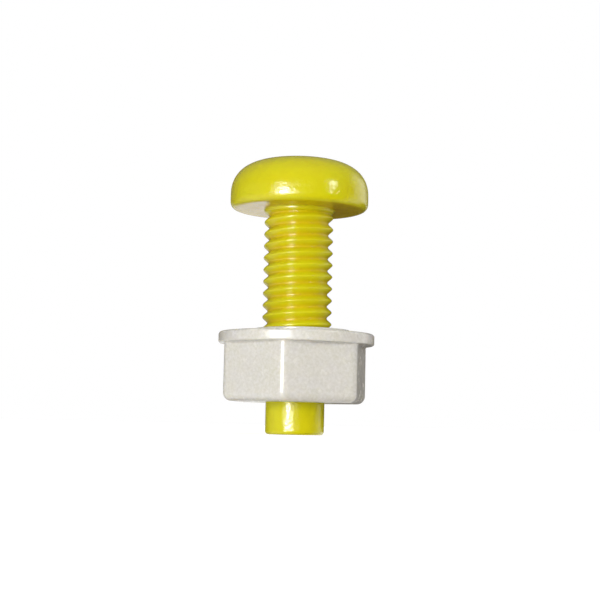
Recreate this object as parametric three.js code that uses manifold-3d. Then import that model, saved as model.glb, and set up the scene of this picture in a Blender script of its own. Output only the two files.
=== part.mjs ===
// A moulded plastic bolt with a plain pilot tip, a thin loose washer and a flanged hexagon nut.
// Millimetres. +Z runs along the bolt towards its head, and z = 0 is the end face of the tip.
import * as THREE from "three";
import { mergeVertices } from "three/addons/utils/BufferGeometryUtils.js";
import Module from "manifold-3d";

// The thread: single start, right-handed
const pitch = 25.4 / 12; // twelve threads to the inch
const majorR = 6.15;
const minorR = 5.25;
const ridgePhase = 0.47; // height at which a ridge crosses the +X side
const flatStart = 0.36; // the flat between two ridges, as shares of the pitch
const flatEnd = 0.64;
const threadClearance = 0.2; // between the bolt's thread and the nut's, on the radius

// The bolt
const tipR = 5.2;
const tipLength = 7.4; // plain end, below the thread
const tipRound = 0.6;
const collarR = 6.2; // where the thread runs out against the head
const collarHeight = 0.6;
const bearingZ = 39.9; // underside of the head
const headR = 12.3;
const headFaceR = 10.9; // flat part of the underside
const headLip = 1.4; // height of the rounded lip round it
const headWallTop = 2.6; // where the wall starts to lean in
const headHeight = 9;
const domeAcross = 3.5; // exponents of the dome's superellipse: above 2 is flatter on top
const domeUp = 2.2;

// The nut
const nutBottomZ = 5.65;
const nutHeight = 12.25;
const acrossFlats = 23.4;
const cornerRound = 1.5; // upright corners; a little more than bottomRound
const bottomRound = 1.45;
const flangeR = 13.8;
const flangeThickness = 2;
const flangeRound = 0.5;
const countersinkR = 7;

// The washer
const washerOuterR = 8.5;
const washerBoreR = 7.2;
const washerThickness = 0.6;
const washerRound = 0.15;
const washerGap = 0.05; // to the face of the flange
const washerOffset = 0.9; // it hangs loose to the +X side of the thread

// Sizes that follow from these
const nutTopZ = nutBottomZ + nutHeight;
const flangeBottomZ = nutTopZ - flangeThickness;
const washerBottomZ = nutTopZ + washerGap;
const washerTopZ = washerBottomZ + washerThickness;

// How far a cutter or a hidden joint runs past the face that it meets
const overrun = 0.5;

// Fineness of the facets
const segments = 36;
const arcSteps = 5;
const domeSteps = 12;
const bevelSteps = 3;

const wasm = await Module();
wasm.setup();

const yellowPlastic = new THREE.MeshStandardMaterial({ color: 0xd6cf18, roughness: 0.25, metalness: 0 });
const naturalPlastic = new THREE.MeshStandardMaterial({ color: 0xdcd7c8, roughness: 0.4, metalness: 0 });

// A closed three.js geometry as a manifold-3d solid.
function solid(geometry) {
  geometry.deleteAttribute("normal");
  geometry.deleteAttribute("uv");
  const merged = mergeVertices(geometry, 1e-5);
  return new wasm.Manifold(new wasm.Mesh({
    numProp: 3,
    vertProperties: new Float32Array(merged.attributes.position.array),
    triVerts: new Uint32Array(merged.index.array),
  }));
}

// A manifold-3d solid as a named, flat-shaded three.js mesh.
function meshOf(name, shape, material) {
  const { vertProperties, triVerts } = shape.getMesh();
  const geometry = new THREE.BufferGeometry();
  geometry.setAttribute("position", new THREE.BufferAttribute(vertProperties, 3));
  geometry.setIndex(new THREE.BufferAttribute(triVerts, 1));
  const flat = geometry.toNonIndexed();
  flat.computeVertexNormals();
  const mesh = new THREE.Mesh(flat, material);
  mesh.name = name;
  return mesh;
}

// A turned solid: the path gives radius and height, from the bottom up, and starts and ends on the axis.
function turned(path) {
  const geometry = new THREE.LatheGeometry(path.getPoints(arcSteps), segments);
  return solid(geometry.rotateX(Math.PI / 2));
}

// A plain cylinder or cone frustum between two heights.
function frustum(bottomR, bottomZ, topR, topZ) {
  const path = new THREE.Path();
  path.moveTo(0, bottomZ);
  path.lineTo(bottomR, bottomZ);
  path.lineTo(topR, topZ);
  path.lineTo(0, topZ);
  return turned(path);
}

// A disc with both of its rims rounded.
function roundedDisc(r, bottomZ, topZ, round) {
  const path = new THREE.Path();
  path.moveTo(0, bottomZ);
  path.lineTo(r - round, bottomZ);
  path.quadraticCurveTo(r, bottomZ, r, bottomZ + round);
  path.lineTo(r, topZ - round);
  path.quadraticCurveTo(r, topZ, r - round, topZ);
  path.lineTo(0, topZ);
  return turned(path);
}

// The solid inside the thread, with sharp ridges and a flat between them.
// Each of its rows is one line of the helix, and the row numbers run on from turn to turn.
function threadBody(ridgeR, flatR, bottomZ, topZ) {
  const lines = [
    { rise: 0, r: ridgeR },
    { rise: flatStart, r: flatR },
    { rise: flatEnd, r: flatR },
  ];
  const firstTurn = Math.floor((bottomZ - ridgePhase) / pitch) - 2;
  const turns = Math.ceil((topZ - bottomZ) / pitch) + 4;
  const lastRow = turns * lines.length;
  const positions = [];
  const faces = [];

  const vertex = (i, row) => {
    const wraps = i === segments ? 1 : 0;
    return (row + wraps * lines.length) * segments + (i % segments);
  };
  for (let row = 0; row <= lastRow + lines.length; row++) {
    const line = lines[row % lines.length];
    const turn = firstTurn + Math.floor(row / lines.length);
    for (let i = 0; i < segments; i++) {
      const angle = (2 * Math.PI * i) / segments;
      const z = ridgePhase + pitch * (turn + line.rise + i / segments);
      positions.push(line.r * Math.cos(angle), line.r * Math.sin(angle), z);
    }
  }
  for (let row = 0; row < lastRow; row++) {
    for (let i = 0; i < segments; i++) {
      faces.push(vertex(i, row), vertex(i + 1, row), vertex(i + 1, row + 1));
      faces.push(vertex(i, row), vertex(i + 1, row + 1), vertex(i, row + 1));
    }
  }

  // Each end is a fan from the axis to one turn of the helix and the step that closes it.
  const closeEnd = (row, facesUp) => {
    const loop = [];
    for (let i = 0; i < segments; i++) loop.push(vertex(i, row));
    for (let step = lines.length; step > 0; step--) loop.push(vertex(0, row + step));
    const centre = positions.length / 3;
    positions.push(0, 0, ridgePhase + pitch * (firstTurn + row / lines.length + 0.5));
    loop.forEach((here, n) => {
      const next = loop[(n + 1) % loop.length];
      if (facesUp) faces.push(centre, here, next);
      else faces.push(centre, next, here);
    });
  };
  closeEnd(0, false);
  closeEnd(lastRow, true);

  // Most of the rows past the last one only serve the seam: toNonIndexed drops what isn't used.
  const geometry = new THREE.BufferGeometry();
  geometry.setAttribute("position", new THREE.Float32BufferAttribute(positions, 3));
  geometry.setIndex(faces);
  return solid(geometry.toNonIndexed());
}

// The domed head, on the flat bearing face that pulls against the work.
function boltHead() {
  const path = new THREE.Path();
  path.moveTo(0, bearingZ);
  path.lineTo(headFaceR, bearingZ);
  path.quadraticCurveTo(headR, bearingZ, headR, bearingZ + headLip);
  for (let step = 0; step < domeSteps; step++) {
    const angle = (step / domeSteps) * (Math.PI / 2);
    const r = headR * Math.cos(angle) ** (2 / domeAcross);
    const rise = (headHeight - headWallTop) * Math.sin(angle) ** (2 / domeUp);
    path.lineTo(r, bearingZ + headWallTop + rise);
  }
  path.lineTo(0, bearingZ + headHeight);
  return turned(path);
}

// The plain pilot tip, carried on as the core of the threaded length.
function tipAndCore() {
  const path = new THREE.Path();
  path.moveTo(0, 0);
  path.lineTo(tipR - tipRound, 0);
  path.quadraticCurveTo(tipR, 0, tipR, tipRound);
  path.lineTo(tipR, bearingZ + 2 * overrun);
  path.lineTo(0, bearingZ + 2 * overrun);
  return turned(path);
}

// The threaded length, from a 45 degree start up into the head.
function boltThread() {
  const insideCoreR = tipR - 0.05;
  const outsideR = majorR + 0.1;
  const topZ = bearingZ + overrun;
  const path = new THREE.Path();
  path.moveTo(0, tipLength);
  path.lineTo(insideCoreR, tipLength);
  path.lineTo(outsideR, tipLength + outsideR - insideCoreR);
  path.lineTo(outsideR, topZ);
  path.lineTo(0, topZ);
  return threadBody(majorR, minorR, tipLength, topZ).intersect(turned(path));
}

// The cone that the last ridge runs out in, a hair wider than the thread.
function headCollar() {
  const path = new THREE.Path();
  path.moveTo(0, bearingZ - collarHeight);
  path.lineTo(minorR, bearingZ - collarHeight);
  path.lineTo(collarR, bearingZ - collarHeight / 4);
  path.lineTo(collarR, bearingZ + overrun);
  path.lineTo(0, bearingZ + overrun);
  return turned(path);
}

function boltBody() {
  return tipAndCore().add(boltThread()).add(headCollar()).add(boltHead());
}

// A regular hexagon with rounded corners, one corner on the -Y side.
function hexagon(flats, round) {
  const shape = new THREE.Shape();
  const centreR = (flats / 2 - round) / Math.cos(Math.PI / 6);
  for (let side = 0; side < 6; side++) {
    const angle = -Math.PI / 2 + (side * Math.PI) / 3;
    const x = centreR * Math.cos(angle);
    const y = centreR * Math.sin(angle);
    shape.absarc(x, y, round, angle - Math.PI / 6, angle + Math.PI / 6, false);
  }
  shape.closePath();
  return shape;
}

// The hexagon block: its rounded lower rim is open to view, and its upper one ends inside the flange.
function nutBlock() {
  const topZ = nutTopZ - overrun / 2;
  const foot = hexagon(acrossFlats - 2 * bottomRound, cornerRound - bottomRound);
  const geometry = new THREE.ExtrudeGeometry(foot, {
    depth: topZ - nutBottomZ - 2 * bottomRound,
    bevelThickness: bottomRound,
    bevelSize: bottomRound,
    bevelSegments: bevelSteps,
    curveSegments: bevelSteps,
  });
  return solid(geometry.translate(0, 0, nutBottomZ + bottomRound));
}

// What is cut out of the nut: its thread, and a 45 degree countersink at each mouth.
function nutBore() {
  const depth = countersinkR - minorR;
  const thread = threadBody(
    majorR + threadClearance, minorR + threadClearance, nutBottomZ, nutTopZ,
  );
  const below = frustum(countersinkR + overrun, nutBottomZ - overrun, minorR, nutBottomZ + depth);
  const above = frustum(minorR, nutTopZ - depth, countersinkR + overrun, nutTopZ + overrun);
  return thread.add(below).add(above);
}

function nutBody() {
  const flange = roundedDisc(flangeR, flangeBottomZ, nutTopZ, flangeRound);
  return nutBlock().add(flange).subtract(nutBore());
}

// The thin ring between the flange and the work, about its own centre.
function washerBody() {
  const disc = roundedDisc(washerOuterR, washerBottomZ, washerTopZ, washerRound);
  const bore = frustum(washerBoreR, washerBottomZ - overrun, washerBoreR, washerTopZ + overrun);
  return disc.subtract(bore);
}

const bolt = meshOf("threaded_bolt", boltBody(), yellowPlastic);
const nut = meshOf("flanged_hex_nut", nutBody(), naturalPlastic);
const washer = meshOf("thrust_washer", washerBody(), naturalPlastic);
washer.position.x = washerOffset;

const insulator = new THREE.Group();
insulator.add(bolt, washer, nut);

export default insulator;
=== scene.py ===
"""The finished look of a fence insulator: a moulded plastic bolt, its flanged nut and a loose washer.

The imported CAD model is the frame. Each of its three nodes is replaced by a finer mesh of the same size.
Sizes are millimetres and angles radians, unless a name says otherwise; every mesh is written in metres.
"""

import math

import bpy
from mathutils import Matrix, Vector

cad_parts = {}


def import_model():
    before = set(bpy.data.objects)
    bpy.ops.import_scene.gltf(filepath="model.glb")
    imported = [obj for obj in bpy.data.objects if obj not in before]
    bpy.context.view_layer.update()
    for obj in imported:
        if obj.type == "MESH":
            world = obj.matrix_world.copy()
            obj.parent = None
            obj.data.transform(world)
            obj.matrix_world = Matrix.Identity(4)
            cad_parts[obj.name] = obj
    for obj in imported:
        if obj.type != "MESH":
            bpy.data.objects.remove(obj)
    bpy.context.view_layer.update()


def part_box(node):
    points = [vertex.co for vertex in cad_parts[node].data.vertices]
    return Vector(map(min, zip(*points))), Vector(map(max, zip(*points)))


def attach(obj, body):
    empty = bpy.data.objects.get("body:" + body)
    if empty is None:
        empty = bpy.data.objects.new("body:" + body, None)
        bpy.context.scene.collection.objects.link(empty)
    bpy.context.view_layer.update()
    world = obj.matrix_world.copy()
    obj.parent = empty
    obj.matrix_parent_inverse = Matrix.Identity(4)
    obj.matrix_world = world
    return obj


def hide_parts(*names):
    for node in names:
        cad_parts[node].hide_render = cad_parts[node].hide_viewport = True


MM = 0.001
TURN = 2 * math.pi

# The thread: single start, right-handed
PITCH = 25.4 / 12
RIDGE_R = 6.15
VALLEY_R = 5.25
RIDGE_PHASE = 0.47  # height at which a ridge crosses the +X side
FLANK = 0.32  # from ridge to valley, as a share of the pitch
RIDGE_SOFT = 0.13  # rounding of the ridges, as a share of the pitch
VALLEY_SOFT = 0.34  # rounding of the valleys, as a share of the depth
THREAD_CLEARANCE = 0.2
THREAD_END_GAP = 0.02  # rows of points keep this far from both ends of a thread

# Rows of points from one ridge to the next, as shares of the pitch
HALF_RIDGE = (0.03, 0.06, 0.11, 0.18, 0.25, 0.31, 0.36, 0.41, 0.45)
FINE_ROWS = (0, *HALF_RIDGE, 0.5, *(1 - share for share in reversed(HALF_RIDGE)))
COARSE_ROWS = (0, 0.1, 0.22, 0.34, 0.5, 0.66, 0.78, 0.9)

# The bolt
BOLT_SEGMENTS = 144
TIP_R = 5.2
TIP_LENGTH = 7.4
TIP_ROUND = 0.6
START_SINK = 0.05  # how far under the tip's surface the thread's 45 degree start begins
START_SOFT = 0.12  # rounding where the thread meets its start
TIP_SOFT = 0.03  # rounding where the start meets the tip
COLLAR_R = 6.2
COLLAR_WALL = 0.35  # height of the upright part; below it the collar curves in to the thread
COLLAR_CURVE = 4.5
COLLAR_SOFT = 0.05  # rounding where the collar meets the thread
NECK_FILLET = 0.2  # between the collar and the head's underside
BEARING_Z = 39.9
HEAD_FACE_R = 10.9
HEAD_LIP = 1.4
HEAD_WALL_TOP = 2.6
DOME_ACROSS = 3.5
DOME_UP = 2.2
GATE_R = 1.3  # shallow dish that the moulding gate leaves on top of the head
GATE_DEPTH = 0.14
GATE_MARGIN = 0.4  # the dome's rows stop this far outside the dish
GATE_NUB_R = 0.45  # the small rise in its middle
GATE_NUB_RISE = 0.7  # as a share of the dish's depth
VALLEY_PAINTED_SHADE = 0.8  # painted shade at a valley's floor, where 1 is the painted shade at the inner edge of the head's underside
UNDERSIDE_MARGIN = 0.1  # no painted shade from this far above the head's underside
UNDERSIDE_FADE = 20  # the distance over which the painted shade under the head would fall to 0

# The nut
ACROSS_FLATS = 23.4
CORNER_ROUND = 1.6
BOTTOM_ROUND = 1.45
FLAT_SINK = 0.05  # how far the middle of each flat has shrunk inwards
FLANGE_THICKNESS = 2
FLANGE_ROUND_BELOW = 0.35
FLANGE_ROUND_ABOVE = 0.5
FLANGE_FILLET = 0.45
FILLET_SHARE = 0.8  # of the room beside the nut's corners, where the fillet is narrower
COUNTERSINK_R = 7
COUNTERSINK_SOFT = 0.08  # rounding where the countersink meets the thread
MOUTH_ROUND = 0.12

# The washer
WASHER_SEGMENTS = 128
WASHER_BORE_R = 7.2
WASHER_ROUND = 0.15

# Rows of points beside a rounded edge, which keep the flat beyond it flat
HOLD = 0.15
WIDE_HOLD = 0.2
NUT_BOTTOM_HOLD = 0.06  # with the bottom's rounding it stays under the corners' radius
FLANGE_HOLD = 0.02

# The camera, at the photograph's viewing angle
CAMERA_DISTANCE = 242.5  # from the bolt's axis, on the level
CAMERA_HEIGHT = 1.5
CAMERA_SWING = 0.167  # from -Y towards +X
CAMERA_UP = 0.092  # how far it looks upwards
CAMERA_RIGHT = 0.002  # how far right of the axis it points
CAMERA_ROLL = 0.022  # the part's top leans right
LENS = 82.2
SENSOR = 36

# Materials and lights
PLASTIC_IOR = 1.53
FIRST_COLOUR, SECOND_COLOUR, MIXED_COLOUR = 6, 7, 2  # sockets of a mix node; their names aren't unique
MIDDLE_Z = 26  # heights that the lights are aimed at
HEAD_Z = 42
FLOOR_WIDTH = 24000
CARD_BEHIND = 17  # from the axis to the dark card
CARD_LEFT, CARD_RIGHT = 2, 40  # both to the right of the axis
CARD_TOP = 39.8

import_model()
BOLT_LOW, BOLT_HIGH = (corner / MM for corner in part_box("threaded_bolt"))
NUT_LOW, NUT_HIGH = (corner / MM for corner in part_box("flanged_hex_nut"))
WASHER_LOW, WASHER_HIGH = (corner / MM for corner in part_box("thrust_washer"))
HEAD_R = BOLT_HIGH.x
HEAD_TOP = BOLT_HIGH.z
FLANGE_R = NUT_HIGH.x
FLANGE_BOTTOM = NUT_HIGH.z - FLANGE_THICKNESS


class Skin:
    """A closed surface made of columns of points, each stitched to the next one round the Z axis.

    A column runs from the bottom up over the outside. Every point has a key, (level, row), and two
    neighbouring points with the same key are joined by an edge.
    """

    def __init__(self, angles):
        self.angles = angles
        self.points = []
        self.columns = [[] for _ in angles]
        self.levels = 0
        self.twists = {}

    def _add(self, column, row, point):
        column.append(((self.levels, row), len(self.points)))
        self.points.append(point)

    def pole(self, z):
        """One point on the axis that every column shares."""
        for column in self.columns:
            column.append(((self.levels, 0), len(self.points)))
        self.points.append((0, 0, z))
        self.levels += 1

    def ring(self, place):
        """One closed row of points; place(i, angle) gives the point of column i."""
        for i, angle in enumerate(self.angles):
            self._add(self.columns[i], 0, place(i, angle))
        self.levels += 1

    def circle(self, r, z, x=0, y=0):
        """One row on a circle."""
        self.ring(lambda i, angle: (x + r * math.cos(angle), y + r * math.sin(angle), z))

    def helix(self, radius, start, end, shares):
        """The rows of a thread between two heights; radius(angle, z) gives its surface."""
        way = 1 if end > start else -1
        low = min(start, end) + THREAD_END_GAP
        high = max(start, end) - THREAD_END_GAP
        first = math.floor((low - RIDGE_PHASE) / PITCH) - 2
        last = math.ceil((high - RIDGE_PHASE) / PITCH) + 2
        for column, angle in zip(self.columns, self.angles):
            rows = []
            for turn in range(first, last):
                for n, share in enumerate(shares):
                    z = RIDGE_PHASE + PITCH * (turn + share + angle / TURN)
                    if low < z < high:
                        rows.append((way * (turn * len(shares) + n), z))
            for row, z in sorted(rows):
                r = radius(angle, z)
                self._add(column, row, (r * math.cos(angle), r * math.sin(angle), z))
        self.twists[self.levels] = -way * len(shares)
        self.levels += 1

    def close(self):
        """Ends every column where it began, which makes the skin a ring."""
        for column in self.columns:
            column.append(((self.levels, 0), column[0][1]))
        self.levels += 1

    def faces(self):
        """The faces between neighbouring columns: quads, and triangles where a row begins or ends."""
        found = []
        last = len(self.columns) - 1
        for i, left in enumerate(self.columns):
            right = self.columns[(i + 1) % len(self.columns)]
            if i == last:
                right = [((level, row + self.twists.get(level, 0)), n) for (level, row), n in right]
            a = b = 0
            while a < len(left) - 1 or b < len(right) - 1:
                end = (self.levels, 0)
                key_a = left[a + 1][0] if a < len(left) - 1 else end
                key_b = right[b + 1][0] if b < len(right) - 1 else end
                face = [left[a][1], right[b][1]]
                if key_b <= key_a:
                    b += 1
                    face.append(right[b][1])
                if key_a <= key_b:
                    a += 1
                    face.append(left[a][1])
                face = list(dict.fromkeys(face))
                if len(face) > 2:
                    found.append(face)
        return found


def placed(name, data):
    """A new object, linked into the scene."""
    obj = bpy.data.objects.new(name, data)
    bpy.context.scene.collection.objects.link(obj)
    return obj


def meshed(name, points, faces):
    """A new mesh object from points in millimetres."""
    mesh = bpy.data.meshes.new(name)
    mesh.from_pydata([[v * MM for v in point] for point in points], [], faces)
    mesh.update()
    return placed(name, mesh)


def piece(name, skin, painted_shade=None):
    """The skin as a smooth Blender object whose flat faces keep flat normals.

    An optional function gives each point from 0 to 1 how much painted shade it gets, for grooves and the
    underside of the head, stored as a mesh attribute for the material to read.
    """
    obj = meshed(name, skin.points, skin.faces())
    mesh = obj.data
    mesh.polygons.foreach_set("use_smooth", [True] * len(mesh.polygons))
    if painted_shade:
        values = mesh.attributes.new("painted_shade", "FLOAT", "POINT")
        values.data.foreach_set("value", [painted_shade(point) for point in skin.points])
    weighted = obj.modifiers.new("weighted", "WEIGHTED_NORMAL")
    weighted.mode = "FACE_AREA_WITH_ANGLE"
    with bpy.context.temp_override(object=obj):
        bpy.ops.object.modifier_apply(modifier=weighted.name)
    return obj


def shares(steps):
    """Even steps from 0 to 1, both ends included."""
    return [n / steps for n in range(steps + 1)]


def arc(steps):
    """Angles from 0 to a right angle, both ends included."""
    return [math.pi / 2 * n / steps for n in range(steps + 1)]


def round_ramp(x, soft):
    """0 below 0 and x above it, with the corner rounded over twice the soft width."""
    if x <= -soft:
        return 0
    if x >= soft:
        return x
    return (x + soft) ** 2 / (4 * soft)


def smaller(a, b, soft):
    """The smaller of two values, with the crease between them rounded."""
    return a - round_ramp(a - b, soft)


def larger(a, b, soft):
    """The larger of two values, with the crease between them rounded."""
    return a + round_ramp(b - a, soft)


def thread_r(angle, z):
    """The bolt's thread: pointed but rounded ridges with hollow valleys between them."""
    turns = (z - RIDGE_PHASE) / PITCH - angle / TURN
    share = abs(turns - round(turns))
    fall = (math.hypot(share, RIDGE_SOFT) - RIDGE_SOFT) / FLANK
    return VALLEY_R + (RIDGE_R - VALLEY_R) * round_ramp(1 - fall, VALLEY_SOFT)


def shank_r(angle, z):
    """The threaded length, from its 45 degree start to the collar under the head."""
    start = TIP_R - START_SINK + z - TIP_LENGTH
    ridge = larger(smaller(thread_r(angle, z), start, START_SOFT), TIP_R, TIP_SOFT)
    below_wall = max(0, BEARING_Z - z - COLLAR_WALL)
    collar = COLLAR_R - COLLAR_CURVE * below_wall ** 2
    return larger(ridge, collar, COLLAR_SOFT)


def bolt_painted_shade(point):
    """Painted shade between the ridges, most at the valleys' floors. The head's flat underside gets
    painted shade too, less towards its rim.
    """
    x, y, z = point
    r = math.hypot(x, y)
    if z <= TIP_LENGTH or z > BEARING_Z + UNDERSIDE_MARGIN:
        return 0
    if r > COLLAR_R + NECK_FILLET:
        return max(0, 1 - (r - COLLAR_R) / UNDERSIDE_FADE)
    return VALLEY_PAINTED_SHADE * min(1, max(0, (RIDGE_R - r) / (RIDGE_R - VALLEY_R)))


def tip(skin):
    """The plain pilot tip, from the middle of its end up to the thread."""
    skin.pole(0)
    for r in (1.5, 3, TIP_R - TIP_ROUND - HOLD):
        skin.circle(r, 0)
    for t in arc(6):
        skin.circle(TIP_R - TIP_ROUND * (1 - math.sin(t)), TIP_ROUND * (1 - math.cos(t)))
    for z in (0.8, 2.4, 4, 5.6, 6.8, TIP_LENGTH):
        skin.circle(TIP_R, z)


def head(skin):
    """The head, from the fillet at its neck over the lip and the wall to the top of the dome."""
    for t in arc(4):
        r = COLLAR_R + NECK_FILLET * (1 - math.cos(t))
        skin.circle(r, BEARING_Z - NECK_FILLET + NECK_FILLET * math.sin(t))
    for r in (COLLAR_R + NECK_FILLET + HOLD, 7.5, 9.2, HEAD_FACE_R - WIDE_HOLD):
        skin.circle(r, BEARING_Z)
    for t in shares(10):
        r = (1 - t) ** 2 * HEAD_FACE_R + (1 - (1 - t) ** 2) * HEAD_R
        skin.circle(r, BEARING_Z + t * t * HEAD_LIP)
    dome_height = HEAD_TOP - BEARING_Z - HEAD_WALL_TOP
    for t in arc(32)[:-1]:
        r = HEAD_R * math.cos(t) ** (2 / DOME_ACROSS)
        z = BEARING_Z + HEAD_WALL_TOP + dome_height * math.sin(t) ** (2 / DOME_UP)
        if r > GATE_R + GATE_MARGIN:
            skin.circle(r, z)


def gate_mark(skin):
    """The shallow dish on top of the dome, with a small rise in its middle."""
    rim_r, floor_r = 1.15 * GATE_R, 0.7 * GATE_R
    for t in shares(8):
        skin.circle(rim_r + (floor_r - rim_r) * t, HEAD_TOP - GATE_DEPTH * t * t * (3 - 2 * t))
    for t in shares(4):
        skin.circle(GATE_NUB_R * (1 - t / 2), HEAD_TOP - GATE_DEPTH * (1 - GATE_NUB_RISE * t))
    skin.pole(HEAD_TOP - GATE_DEPTH * (1 - GATE_NUB_RISE))


def bolt_skin():
    """The whole bolt."""
    skin = Skin([TURN * i / BOLT_SEGMENTS for i in range(BOLT_SEGMENTS)])
    tip(skin)
    skin.helix(shank_r, TIP_LENGTH, BEARING_Z - NECK_FILLET, FINE_ROWS)
    head(skin)
    gate_mark(skin)
    return skin


def hexagon_points():
    """The hexagon's outline from +X round: (x, y), outward normal, and how far from the flat's middle."""
    centre_r = (ACROSS_FLATS / 2 - CORNER_ROUND) / math.cos(math.pi / 6)
    half = centre_r / 2
    along = [half * math.sin(t) for t in arc(8)[:-1]]
    points = []
    for side in range(6):
        middle = side * math.pi / 3
        normal = Vector((math.cos(middle), math.sin(middle)))
        tangent = Vector((-normal.y, normal.x))
        for t in [-t for t in reversed(along[1:])] + along:
            points.append((normal * ACROSS_FLATS / 2 + tangent * t, normal, abs(t) / half))
        corner = Vector((math.cos(middle + math.pi / 6), math.sin(middle + math.pi / 6)))
        for share in shares(10):
            turn = middle + share * math.pi / 3
            normal = Vector((math.cos(turn), math.sin(turn)))
            points.append((corner * centre_r + normal * CORNER_ROUND, normal, 1))
    middle_of_first_flat = len(along) - 1
    return points[middle_of_first_flat:] + points[:middle_of_first_flat]


def bore_r(angle, z):
    """The nut's thread, opened by a countersink at each mouth."""
    thread = thread_r(angle, z) + THREAD_CLEARANCE
    mouth = COUNTERSINK_R - min(z - NUT_LOW.z, NUT_HIGH.z - z)
    return larger(thread, mouth, COUNTERSINK_SOFT)


def nut_skin():
    """The whole nut, from its lower face up the hexagon, over the flange and down the thread inside."""
    outline = hexagon_points()
    skin = Skin([math.atan2(point.y, point.x) % TURN for point, normal, share in outline])
    bottom, top = NUT_LOW.z, NUT_HIGH.z
    edge_r = FLANGE_R - FLANGE_ROUND_BELOW
    mouth_r = COUNTERSINK_R + MOUTH_ROUND

    def hexagon(z, inset=0, sink=0):
        """One row on the hexagon, moved in by the inset, and by sink too in the middle of each flat."""
        def place(i, angle):
            point, normal, share = outline[i]
            spot = point - normal * (inset + sink * (1 - share * share))
            return (spot.x, spot.y, z)
        skin.ring(place)

    def fillet(t):
        """One row of the fillet between the hexagon and the flange."""
        def place(i, angle):
            point, normal, share = outline[i]
            size = min(FLANGE_FILLET, FILLET_SHARE * (edge_r - point.length))
            spot = point + normal * size * (1 - math.cos(t))
            return (spot.x, spot.y, FLANGE_BOTTOM - size * (1 - math.sin(t)))
        skin.ring(place)

    for r in (mouth_r, mouth_r + HOLD, 9):
        skin.circle(r, bottom)
    hexagon(bottom, BOTTOM_ROUND + NUT_BOTTOM_HOLD)
    for t in arc(7):
        hexagon(bottom + BOTTOM_ROUND * (1 - math.cos(t)), BOTTOM_ROUND * (1 - math.sin(t)))
    wall_bottom = bottom + BOTTOM_ROUND
    wall_height = FLANGE_BOTTOM - FLANGE_FILLET - wall_bottom
    for t in shares(12)[1:-1]:
        hexagon(wall_bottom + wall_height * t, 0, FLAT_SINK * math.sin(math.pi * t))
    for t in arc(5):
        fillet(t)
    skin.circle(edge_r - FLANGE_HOLD, FLANGE_BOTTOM)
    for t in arc(5):
        r = edge_r + FLANGE_ROUND_BELOW * math.sin(t)
        skin.circle(r, FLANGE_BOTTOM + FLANGE_ROUND_BELOW * (1 - math.cos(t)))
    skin.circle(FLANGE_R, FLANGE_BOTTOM + FLANGE_THICKNESS / 2)
    for t in arc(6):
        r = FLANGE_R - FLANGE_ROUND_ABOVE * (1 - math.cos(t))
        skin.circle(r, top - FLANGE_ROUND_ABOVE * (1 - math.sin(t)))
    for r in (FLANGE_R - FLANGE_ROUND_ABOVE - WIDE_HOLD, 11, 9, mouth_r + HOLD, mouth_r):
        skin.circle(r, top)
    skin.circle(COUNTERSINK_R, top - MOUTH_ROUND / 3)
    skin.helix(bore_r, top - MOUTH_ROUND, bottom + MOUTH_ROUND, COARSE_ROWS)
    skin.circle(COUNTERSINK_R, bottom + MOUTH_ROUND / 3)
    skin.close()
    return skin


def washer_skin():
    """The whole washer: four rounded corners, joined in a ring."""
    skin = Skin([TURN * i / WASHER_SEGMENTS for i in range(WASHER_SEGMENTS)])
    x = (WASHER_LOW.x + WASHER_HIGH.x) / 2
    y = (WASHER_LOW.y + WASHER_HIGH.y) / 2
    outer = (WASHER_HIGH.x - WASHER_LOW.x) / 2 - WASHER_ROUND
    inner = WASHER_BORE_R + WASHER_ROUND
    low, high = WASHER_LOW.z + WASHER_ROUND, WASHER_HIGH.z - WASHER_ROUND
    corners = (
        (inner, low, math.pi),
        (outer, low, -math.pi / 2),
        (outer, high, 0),
        (inner, high, math.pi / 2),
    )
    for r, z, begin in corners:
        for t in arc(4):
            turn = begin + t
            skin.circle(r + WASHER_ROUND * math.cos(turn), z + WASHER_ROUND * math.sin(turn), x, y)
    skin.close()
    return skin


class Nodes:
    """The shader nodes of a material or a world."""

    def __init__(self, owner):
        owner.use_nodes = True
        self.tree = owner.node_tree

    def feed(self, target, value):
        """Gives an input a number, a vector, a colour, or the output of another node."""
        if isinstance(value, bpy.types.NodeSocket):
            self.tree.links.new(value, target)
        elif target.type == "RGBA":
            target.default_value = (*value, 1)
        else:
            target.default_value = value

    def new(self, kind, inputs=None):
        """A node, with what its inputs are given by name or number."""
        made = self.tree.nodes.new(kind)
        for name, value in (inputs or {}).items():
            self.feed(made.inputs[name], value)
        return made

    def ranged(self, value, low, high, from_low=0.3, from_high=0.7, smooth=False):
        """The value stretched from one range to another; noise lies mostly between 0.3 and 0.7."""
        stretch = self.new("ShaderNodeMapRange", {"Value": value, "To Min": low, "To Max": high})
        stretch.inputs["From Min"].default_value = from_low
        stretch.inputs["From Max"].default_value = from_high
        if smooth:
            stretch.interpolation_type = "SMOOTHSTEP"
        return stretch.outputs["Result"]

    def blended(self, factor, first, second):
        """Two colours mixed by a factor."""
        mix = self.new("ShaderNodeMix")
        mix.data_type = "RGBA"
        self.feed(mix.inputs["Factor"], factor)
        self.feed(mix.inputs[FIRST_COLOUR], first)
        self.feed(mix.inputs[SECOND_COLOUR], second)
        return mix.outputs[MIXED_COLOUR]


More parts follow.
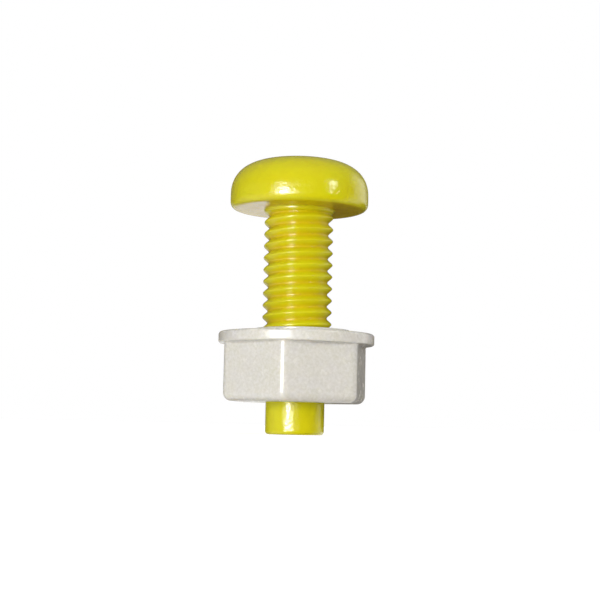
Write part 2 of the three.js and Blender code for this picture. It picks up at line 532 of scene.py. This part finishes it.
class Look(Nodes):
    """A material: its nodes, the shader they end in, and the coordinates they start from."""

    def __init__(self, name):
        self.material = bpy.data.materials.new(name)
        super().__init__(self.material)
        self.shader = self.tree.nodes["Principled BSDF"]
        self.place = self.new("ShaderNodeTexCoord").outputs["Object"]

    def noise(self, size_mm, detail=2):
        """Noise with blobs of about this size."""
        inputs = {"Vector": self.place, "Scale": 1 / (size_mm * MM), "Detail": detail}
        return self.new("ShaderNodeTexNoise", inputs).outputs["Fac"]

    def bumped(self, height, strength, depth_mm, below=None):
        """A bump from a height, on top of another bump if one is given."""
        inputs = {"Height": height, "Strength": strength, "Distance": depth_mm * MM}
        if below is not None:
            inputs["Normal"] = below
        return self.new("ShaderNodeBump", inputs).outputs["Normal"]

    def shade(self, inputs):
        """Gives the shader its inputs."""
        for name, value in inputs.items():
            self.feed(self.shader.inputs[name], value)


def yellow_plastic():
    """Glossy yellow with a slightly wavy skin, and painted shade in dark orange-brown in the grooves and
    under the head.
    """
    look = Look("glossy_yellow")
    clouds = look.ranged(look.noise(7, 3), 0, 1)
    open_colour = look.blended(clouds, (0.655, 0.64, 0.005), (0.645, 0.585, 0.005))
    # Painted shade: a mesh attribute mixes the grooves and the head's underside towards a dark
    # orange-brown (0.57, 0.34, 0.003).
    painted_shade = look.new("ShaderNodeAttribute")
    painted_shade.attribute_name = "painted_shade"
    painted_shade_amount = look.ranged(painted_shade.outputs["Fac"], 0, 0.75, from_low=0.3, from_high=1)
    waves = look.bumped(look.noise(1.3), 1, 0.09)
    look.shade({
        "Base Color": look.blended(painted_shade_amount, open_colour, (0.57, 0.34, 0.003)),
        "Roughness": look.ranged(look.noise(1.6, 3), 0.12, 0.2),
        "Normal": look.bumped(look.noise(0.4, 3), 0.9, 0.045, waves),
        "IOR": PLASTIC_IOR,
        "Subsurface Weight": 0.12,
        "Subsurface Radius": (1, 0.7, 0.1),
        "Subsurface Scale": 1.2 * MM,
    })
    return look.material


def natural_plastic():
    """Cloudy, speckled, faintly translucent white."""
    look = Look("natural_nylon")
    clouds = look.ranged(look.noise(5, 3), 0, 1)
    specks = look.ranged(look.noise(0.5), 0, 1)
    warm = look.blended(clouds, (0.64, 0.638, 0.565), (0.655, 0.645, 0.615))
    waves = look.bumped(look.noise(3), 0.3, 0.03)
    look.shade({
        "Base Color": look.blended(specks, warm, (0.74, 0.735, 0.71)),
        "Roughness": look.ranged(look.noise(1.4, 3), 0.14, 0.3),
        "Normal": look.bumped(look.noise(0.4, 3), 0.6, 0.04, waves),
        "IOR": PLASTIC_IOR,
        "Subsurface Weight": 0.5,
        "Subsurface Radius": (1, 0.9, 0.65),
        "Subsurface Scale": 2 * MM,
    })
    return look.material


def level(swing):
    """The level direction that is swung this far from -Y towards +X."""
    return Vector((math.sin(swing), -math.cos(swing), 0))


def spot_round(swing, distance, z):
    """A place at this distance from the axis, in that direction."""
    return (level(swing) * distance + Vector((0, 0, z))) * MM


def camera():
    """The camera, aimed from its own height a little upwards and rolled about its line of sight."""
    forward = level(CAMERA_SWING - CAMERA_RIGHT - math.pi)
    ahead = forward * math.cos(CAMERA_UP) + Vector((0, 0, math.sin(CAMERA_UP)))
    right = ahead.cross(Vector((0, 0, 1))).normalized()
    up = right.cross(ahead)
    roll_right = right * math.cos(CAMERA_ROLL) + up * math.sin(CAMERA_ROLL)
    roll_up = up * math.cos(CAMERA_ROLL) - right * math.sin(CAMERA_ROLL)
    data = bpy.data.cameras.new("camera")
    data.sensor_fit = "HORIZONTAL"
    data.sensor_width = SENSOR
    data.lens = LENS
    data.clip_start = 0.005
    data.clip_end = 50
    obj = placed("camera", data)
    spot = spot_round(CAMERA_SWING, CAMERA_DISTANCE, CAMERA_HEIGHT)
    turned = Matrix((roll_right, roll_up, -ahead)).transposed().to_4x4()
    obj.matrix_world = Matrix.Translation(spot) @ turned
    bpy.context.scene.camera = obj


def area_light(name, degrees, distance, z, aim_z, size, watts, colour):
    """A rectangular light, turned so many degrees from the camera to the right and aimed at the axis."""
    data = bpy.data.lights.new(name, "AREA")
    data.shape = "RECTANGLE"
    data.size = size[0] * MM
    data.size_y = size[1] * MM
    data.energy = watts
    data.color = colour
    obj = placed(name, data)
    obj.location = spot_round(CAMERA_SWING + math.radians(degrees), distance, z)
    aim = Vector((0, 0, aim_z * MM))
    obj.rotation_euler = (aim - obj.location).to_track_quat("-Z", "Y").to_euler()
    obj.visible_camera = False
    return obj


def lights():
    """A fill and a soft sun that make no reflections, two lights that make nothing else, and a window."""
    key = area_light("key", -25, 260, 26, MIDDLE_Z, (170, 100), 0.3, (1, 0.985, 0.96))
    core = area_light("core", -25, 250, 38, MIDDLE_Z, (70, 80), 0.7, (1, 0.99, 0.97))
    key.visible_diffuse = False
    core.visible_diffuse = False
    fill = area_light("fill", -8, 300, 28, MIDDLE_Z, (280, 124), 0.8, (1, 0.99, 0.97))
    fill.visible_glossy = False
    area_light("window", 54, 240, 110, HEAD_Z, (30, 30), 0.08, (1, 1, 1))
    data = bpy.data.lights.new("overhead", "SUN")
    data.energy = 0.46
    data.angle = math.radians(60)
    overhead = placed("overhead", data)
    overhead.visible_glossy = False


def world():
    """White to the camera. To the part, a dim warm room, brighter above, with three lit places in it."""
    made = bpy.data.worlds.new("studio")
    sky = Nodes(made)
    sky.tree.nodes.clear()
    direction = sky.new("ShaderNodeTexCoord").outputs["Generated"]

    def lobe(towards, low, high):
        """1 where the direction is close to this one, smoothly down to 0 further away."""
        dot = sky.new("ShaderNodeVectorMath", {0: direction, 1: Vector(towards).normalized()})
        dot.operation = "DOT_PRODUCT"
        return sky.ranged(dot.outputs["Value"], 0, 1, from_low=low, from_high=high, smooth=True)

    room = sky.blended(lobe((0, 0, 1), -0.2, 0.9), (0.12, 0.085, 0.055), (0.3, 0.29, 0.27))
    low_left = sky.blended(lobe((-0.7, -0.3, -0.65), 0.4, 1), room, (0.88, 0.86, 0.82))
    behind, below = lobe((0.45, 0.89, 0), 0.3, 0.95), lobe((0, 0, -1), -0.1, 0.08)
    both = sky.new("ShaderNodeMath", {0: behind, 1: below})
    both.operation = "MULTIPLY"
    low_back = sky.blended(both.outputs["Value"], low_left, (1.35, 1.35, 1.35))
    right_back = sky.blended(lobe((0.7, 0.7, 0.2), 0.88, 0.98), low_back, (1.45, 1.43, 1.38))
    studio = sky.new("ShaderNodeBackground", {"Color": right_back})
    white = sky.new("ShaderNodeBackground", {"Color": (1, 1, 1)})
    seen = sky.new("ShaderNodeLightPath").outputs["Is Camera Ray"]
    mix = sky.new("ShaderNodeMixShader", {"Fac": seen, 1: studio.outputs[0], 2: white.outputs[0]})
    sky.new("ShaderNodeOutputWorld", {"Surface": mix.outputs["Shader"]})
    bpy.context.scene.world = made


def flat_card(name, corners, look):
    """A four-sided card beside the part, which casts no shadows and which diffuse rays pass through."""
    obj = meshed(name, corners, [(0, 1, 2, 3)])
    obj.data.materials.append(look.material)
    obj.visible_diffuse = False
    obj.visible_shadow = False
    return obj


def floor():
    """A wide pale floor, glowing white from half a metre out. It adds nothing to the part's own light."""
    look = Look("pale_floor")
    paper = look.ranged(look.noise(40), 0, 1)
    metres = look.new("ShaderNodeVectorMath", {0: look.place})
    metres.operation = "LENGTH"
    look.shade({
        "Base Color": look.blended(paper, (0.86, 0.86, 0.86), (0.9, 0.9, 0.9)),
        "Roughness": 1,
        "Specular IOR Level": 0,
        "Emission Color": (1, 1, 1),
        "Emission Strength": look.ranged(metres.outputs["Value"], 0.6, 1, 0, 0.5, smooth=True),
    })
    far = FLOOR_WIDTH / 2
    corners = ((-far, -far, 0), (far, -far, 0), (far, far, 0), (-far, far, 0))
    flat_card("floor", corners, look).visible_glossy = False


def dark_card():
    """Behind the part on the right, for the brown reflection in the right half of the head's underside."""
    look = Look("dark_card")
    look.shade({"Base Color": (0.03, 0.02, 0.01), "Roughness": 1})
    behind = level(CAMERA_SWING) * -CARD_BEHIND
    right = level(CAMERA_SWING + math.pi / 2)
    corners = []
    for across, z in ((CARD_LEFT, 0), (CARD_RIGHT, 0), (CARD_RIGHT, CARD_TOP), (CARD_LEFT, CARD_TOP)):
        spot = behind + right * across
        corners.append((spot.x, spot.y, z))
    flat_card("dark_card", corners, look).visible_camera = False


def part():
    """The three pieces, each in place of its CAD node."""
    yellow = yellow_plastic()
    natural = natural_plastic()
    # The bolt carries painted shade for its grooves and the underside of its head.
    plans = (
        ("bolt_moulding", bolt_skin(), bolt_painted_shade, "threaded_bolt", "bolt", yellow, "yellow_plastic"),
        ("nut_moulding", nut_skin(), None, "flanged_hex_nut", "nut", natural, "natural_plastic"),
        ("loose_washer", washer_skin(), None, "thrust_washer", "washer", natural, "natural_plastic"),
    )
    for name, skin, painted_shade, node, body, finish, slot in plans:
        obj = piece(name, skin, painted_shade)
        obj.data.materials.append(finish)
        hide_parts(node)
        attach(obj, body)


bpy.context.scene.view_settings.view_transform = "Standard"
camera()
part()
lights()
world()
floor()
dark_card()
